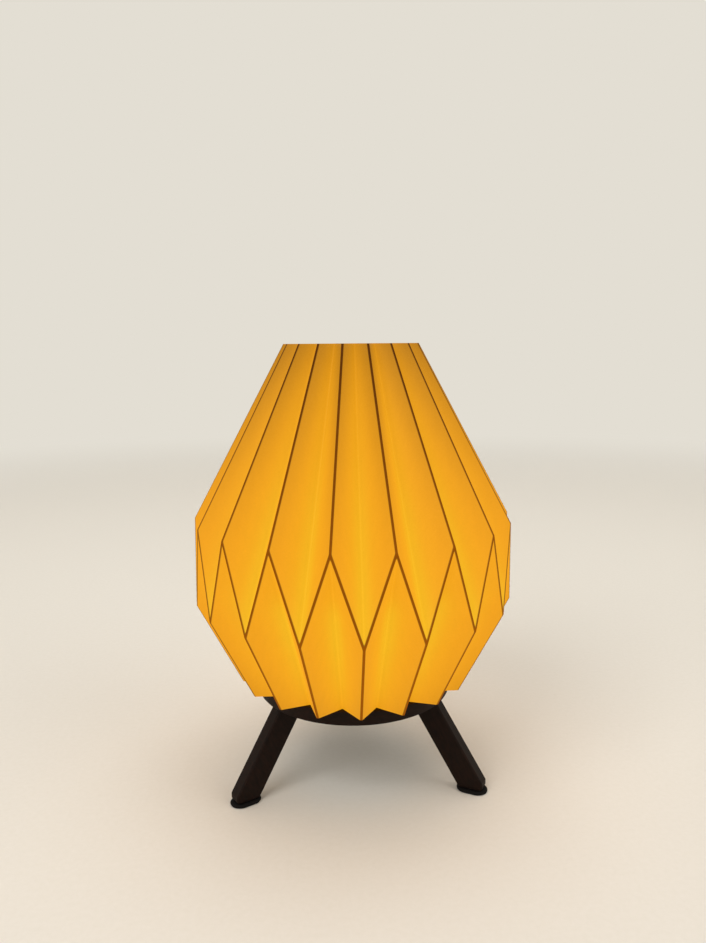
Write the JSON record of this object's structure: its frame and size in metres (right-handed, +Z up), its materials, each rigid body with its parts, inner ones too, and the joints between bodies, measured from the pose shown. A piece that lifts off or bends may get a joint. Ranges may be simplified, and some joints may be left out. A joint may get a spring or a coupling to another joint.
{
  "type": "pleated paper table lamp",
  "caption": "Table lamp: a pleated paper shade with a zig-zag belly fold sits on a round base disc with splayed legs, lifts off, and covers a screw-in lamp.",
  "frame": {"origin": "on the ground, on the lamp's upright axis, under the middle of the base", "axes": "+Z up; the rear leg points to +Y, the other two to the front left and front right; +X is to the right seen from the front"},
  "size_m": [0.18, 0.18, 0.2504],
  "materials": {
    "shade_paper": "matt laminated paper, lit warm from inside",
    "black_stained_wood": "black stain, matt",
    "pad_rubber": "matt",
    "zinc_steel": "zinc plated",
    "black_nylon": "moulded",
    "holder_plastic": "moulded, satin",
    "white_ceramic": "fired, unglazed",
    "contact_brass": "drawn, bright",
    "lamp_cap_metal": "rolled, bright",
    "lamp_black_glass": "pressed, opaque",
    "lamp_housing": "moulded",
    "lamp_board": "white solder mask",
    "lamp_opal": "opal diffuser, lit warm"
  },
  "bodies": {
    "base": {"base_disc": "black_stained_wood", "leg_rear": "black_stained_wood", "leg_front_left": "black_stained_wood", "leg_front_right": "black_stained_wood", "foot_pad_rear": "pad_rubber", "foot_pad_front_left": "pad_rubber", "foot_pad_front_right": "pad_rubber", "seat_ring": "black_stained_wood", "leg_screws": "zinc_steel", "threaded_nipple": "zinc_steel", "nipple_washer": "zinc_steel", "nipple_nut": "zinc_steel", "cord_gland": "black_nylon", "gland_screw": "black_nylon", "holder_base": "holder_plastic", "contact_block": "white_ceramic", "terminal_screws": "contact_brass", "holder_sleeve": "holder_plastic", "screw_shell": "contact_brass", "centre_contact": "contact_brass"},
    "shade": {"paper_shade": "shade_paper"},
    "bulb": {"bulb_contact": "lamp_cap_metal", "bulb_insulator": "lamp_black_glass", "bulb_cap": "lamp_cap_metal", "bulb_collar": "lamp_housing", "led_board": "lamp_board", "bulb_globe": "lamp_opal"}
  },
  "joints": [
    {"name": "shade_lift", "type": "slide", "parent": "base", "child": "shade", "axis": [0, 0, 1], "range_m": [0, 0.12]},
    {"name": "bulb_turn", "type": "hinge", "parent": "base", "child": "bulb", "pos_m": [0, 0, 0.09], "axis": [0, 0, 1], "range_deg": [0, 1440]}
  ]
}
